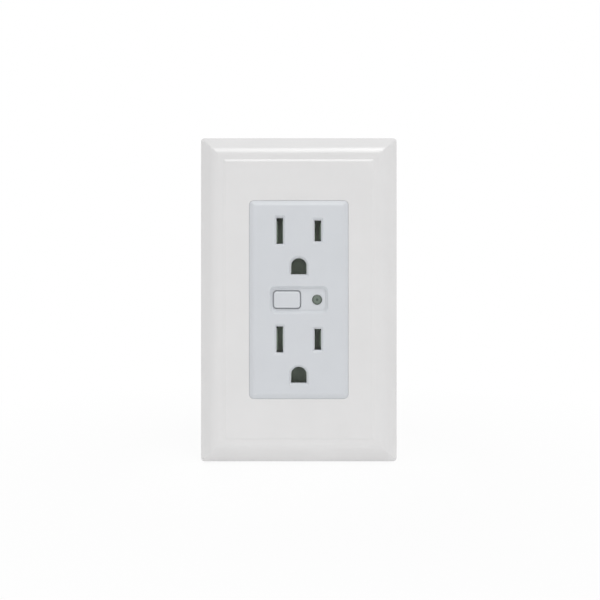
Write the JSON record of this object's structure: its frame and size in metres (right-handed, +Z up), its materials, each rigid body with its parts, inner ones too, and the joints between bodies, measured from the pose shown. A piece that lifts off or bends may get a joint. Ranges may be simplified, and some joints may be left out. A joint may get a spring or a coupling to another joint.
{
  "type": "duplex receptacle",
  "caption": "Decorator duplex receptacle with a push button and an indicator lens in a recessed panel, behind a bevelled screwless wall plate.",
  "frame": {"origin": "centre of the device on the wall plane, midway between the two wall box screws", "axes": "+Z up, -Y out of the wall towards the user, +Y into the wall box along its screws"},
  "size_m": [0.0666, 0.0406, 0.11],
  "materials": {
    "plate_plastic": "fine satin moulding in a warm grey white",
    "subplate_plastic": "plain satin moulding",
    "face_plastic": "satin moulding, slightly cooler than the plate",
    "button_plastic": "satin moulding",
    "lens_smoke": "smoked translucent lens",
    "housing_plastic": "dark moulded thermoplastic",
    "carrier_plastic": "dark moulded thermoplastic",
    "plunger_plastic": "pale moulding",
    "yoke_steel": "zinc plated steel sheet",
    "zinc_steel": "bright zinc plating",
    "fibre": "pressed fibre",
    "contact_brass": "dull tinned brass sheet",
    "screw_brass": "bright brass plating",
    "screw_nickel": "bright nickel plating",
    "screw_green": "green dyed plating",
    "board_laminate": "green solder mask on laminate",
    "led_epoxy": "clear epoxy",
    "relay_plastic": "blue moulded case",
    "coil_copper": "lacquered copper wire",
    "ferrite": "ferrite core with taped winding",
    "can_sleeve": "shrunk sleeve",
    "film_epoxy": "moulded box",
    "varistor_epoxy": "dipped epoxy",
    "fuse_ceramic": "ceramic tube with plated caps",
    "radio_shield": "tinned shield on laminate"
  },
  "bodies": {
    "device": {"mounting_subplate": "subplate_plastic", "subplate_screws": "zinc_steel", "yoke": "yoke_steel", "mounting_screws": "zinc_steel", "screw_retainers": "fibre", "front_face": "face_plastic", "indicator_lens": "lens_smoke", "rear_housing": "housing_plastic", "assembly_screws": "zinc_steel", "contact_carrier": "carrier_plastic", "hot_contact_upper": "contact_brass", "hot_contact_lower": "contact_brass", "neutral_bus": "contact_brass", "ground_bus": "contact_brass", "ground_rivets": "zinc_steel", "main_board": "board_laminate", "control_board": "board_laminate", "board_header": "carrier_plastic", "tact_switch_body": "carrier_plastic", "status_led": "led_epoxy", "relay_base": "relay_plastic", "relay_cover": "relay_plastic", "relay_frame": "yoke_steel", "relay_coil": "coil_copper", "relay_core": "yoke_steel", "relay_fixed_contact": "contact_brass", "power_transformer": "ferrite", "filter_capacitors": "can_sleeve", "film_capacitor": "film_epoxy", "varistor": "varistor_epoxy", "fuse": "fuse_ceramic", "radio_module": "radio_shield"},
    "cover": {"wall_plate_cover": "plate_plastic"},
    "button": {"push_button": "button_plastic"},
    "plunger": {"tact_switch_plunger": "plunger_plastic"},
    "armature": {"relay_armature": "yoke_steel", "relay_moving_contact": "contact_brass"},
    "hot_clamp": {"hot_clamp_plate": "contact_brass"},
    "hot_screw": {"hot_terminal_screw": "screw_brass"},
    "neutral_clamp": {"neutral_clamp_plate": "screw_nickel"},
    "neutral_screw": {"neutral_terminal_screw": "screw_nickel"},
    "ground_clamp": {"ground_clamp_plate": "zinc_steel"},
    "ground_screw": {"ground_terminal_screw": "screw_green"}
  },
  "joints": [
    {"name": "cover_pull", "type": "slide", "parent": "device", "child": "cover", "axis": [0, -1, 0], "range_m": [0, 0.014]},
    {"name": "button_press", "type": "slide", "parent": "device", "child": "button", "axis": [0, 1, 0], "range_m": [0, 0.0005], "stiffness_N_per_m": 400, "springref_m": -0.002},
    {"name": "plunger_press", "type": "slide", "parent": "device", "child": "plunger", "axis": [0, 1, 0], "range_m": [0, 0.0006]},
    {"name": "armature_close", "type": "hinge", "parent": "device", "child": "armature", "pos_m": [-0.012, 0.027, -0.01465], "axis": [0, 0, -1], "range_deg": [0, 3], "stiffness_Nm_per_rad": 0.02, "springref_deg": -5.73},
    {"name": "hot_clamp_lift", "type": "slide", "parent": "device", "child": "hot_clamp", "axis": [1, 0, 0], "range_m": [0, 0.00238]},
    {"name": "hot_screw_turn", "type": "hinge", "parent": "hot_clamp", "child": "hot_screw", "pos_m": [0.0175, 0.0048, 0.012], "axis": [1, 0, 0], "range_deg": [0, 1081]},
    {"name": "neutral_clamp_lift", "type": "slide", "parent": "device", "child": "neutral_clamp", "axis": [-1, 0, 0], "range_m": [0, 0.00238]},
    {"name": "neutral_screw_turn", "type": "hinge", "parent": "neutral_clamp", "child": "neutral_screw", "pos_m": [-0.0175, 0.0048, 0.012], "axis": [-1, 0, 0], "range_deg": [0, 1081]},
    {"name": "ground_clamp_lift", "type": "slide", "parent": "device", "child": "ground_clamp", "axis": [-1, 0, 0], "range_m": [0, 0.00238]},
    {"name": "ground_screw_turn", "type": "hinge", "parent": "ground_clamp", "child": "ground_screw", "pos_m": [-0.0142, 0.0055, -0.0405], "axis": [-1, 0, 0], "range_deg": [0, 1081]}
  ],
  "couplings": [
    {"joint": "plunger_press", "follows": "button_press", "ratio": 1},
    {"joint": "hot_screw_turn", "follows": "hot_clamp_lift", "rad_per_m": 7915.8},
    {"joint": "neutral_screw_turn", "follows": "neutral_clamp_lift", "rad_per_m": 7915.8},
    {"joint": "ground_screw_turn", "follows": "ground_clamp_lift", "rad_per_m": 7915.8}
  ]
}
